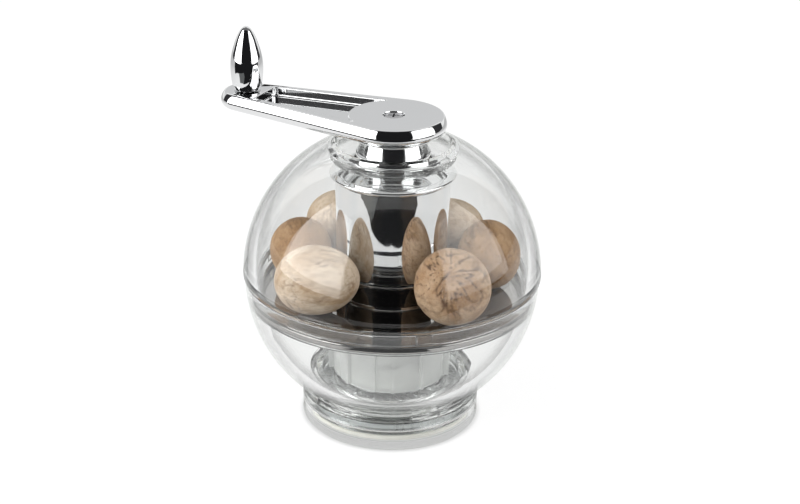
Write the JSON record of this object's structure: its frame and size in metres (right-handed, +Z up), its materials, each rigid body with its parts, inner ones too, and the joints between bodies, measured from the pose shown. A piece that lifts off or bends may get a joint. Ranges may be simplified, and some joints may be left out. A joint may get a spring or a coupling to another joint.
{
  "type": "mechanical nutmeg grater",
  "caption": "Hand cranked nutmeg mill: clear ball on a clear foot, with a storage ring for whole nutmegs round a chrome column that houses a sprung press over a grating plate.",
  "frame": {"origin": "on the mill's main axis, at the underside of the closing cap that it stands on", "axes": "+Z up along the main axis; at rest the crank arm points along -X and the knob stands at X = -44.2 mm"},
  "size_m": [0.0914, 0.08, 0.1039],
  "materials": {
    "clear_plastic": "gloss",
    "satin_clear_plastic": "satin",
    "chrome": "polished",
    "steel": "satin",
    "cream_plastic": "satin",
    "white_plastic": "satin",
    "nutmeg": "matte"
  },
  "bodies": {
    "bowl": {"bowl_shell": "clear_plastic", "storage_tray": "chrome", "feed_tube": "satin_clear_plastic", "nutmeg_1": "nutmeg", "nutmeg_2": "nutmeg", "nutmeg_3": "nutmeg", "nutmeg_4": "nutmeg", "nutmeg_5": "nutmeg", "nutmeg_6": "nutmeg"},
    "grater": {"grater_collar": "clear_plastic", "grater_plate": "steel", "plate_retaining_ring": "steel"},
    "cap": {"base_cap": "clear_plastic", "cap_liner": "cream_plastic"},
    "dome": {"dome_shell": "clear_plastic", "column_tube": "chrome", "column_cap": "chrome", "neck_collar": "chrome", "neck_bush": "white_plastic", "spring_seat": "steel"},
    "crank": {"crank_arm": "chrome", "crank_screw": "steel", "drive_shaft": "steel", "stop_washer": "steel", "stop_screw": "steel", "knob_pin": "steel", "press_spring": "steel"},
    "knob": {"crank_knob": "chrome"},
    "press": {"press": "white_plastic", "claw_plate": "steel"}
  },
  "joints": [
    {"name": "dome_lift", "type": "slide", "parent": "bowl", "child": "dome", "axis": [0, 0, 1], "range_m": [0, 0.06]},
    {"name": "crank_turn", "type": "hinge", "parent": "dome", "child": "crank", "pos_m": [0, 0, 0.08], "axis": [0, 0, 1], "continuous": true},
    {"name": "knob_spin", "type": "hinge", "parent": "crank", "child": "knob", "pos_m": [-0.0442, 0, 0.09], "axis": [0, 0, 1], "continuous": true},
    {"name": "press_travel", "type": "slide", "parent": "crank", "child": "press", "axis": [0, 0, 1], "range_m": [0, 0.0225], "stiffness_N_per_m": 285, "springref_m": -0.002, "deforming": ["press_spring"]},
    {"name": "collar_twist", "type": "hinge", "parent": "bowl", "child": "grater", "pos_m": [0, 0, 0.0072], "axis": [0, 0, 1], "range_deg": [0, 30]},
    {"name": "cap_pull", "type": "slide", "parent": "grater", "child": "cap", "axis": [0, 0, -1], "range_m": [0, 0.012]}
  ]
}
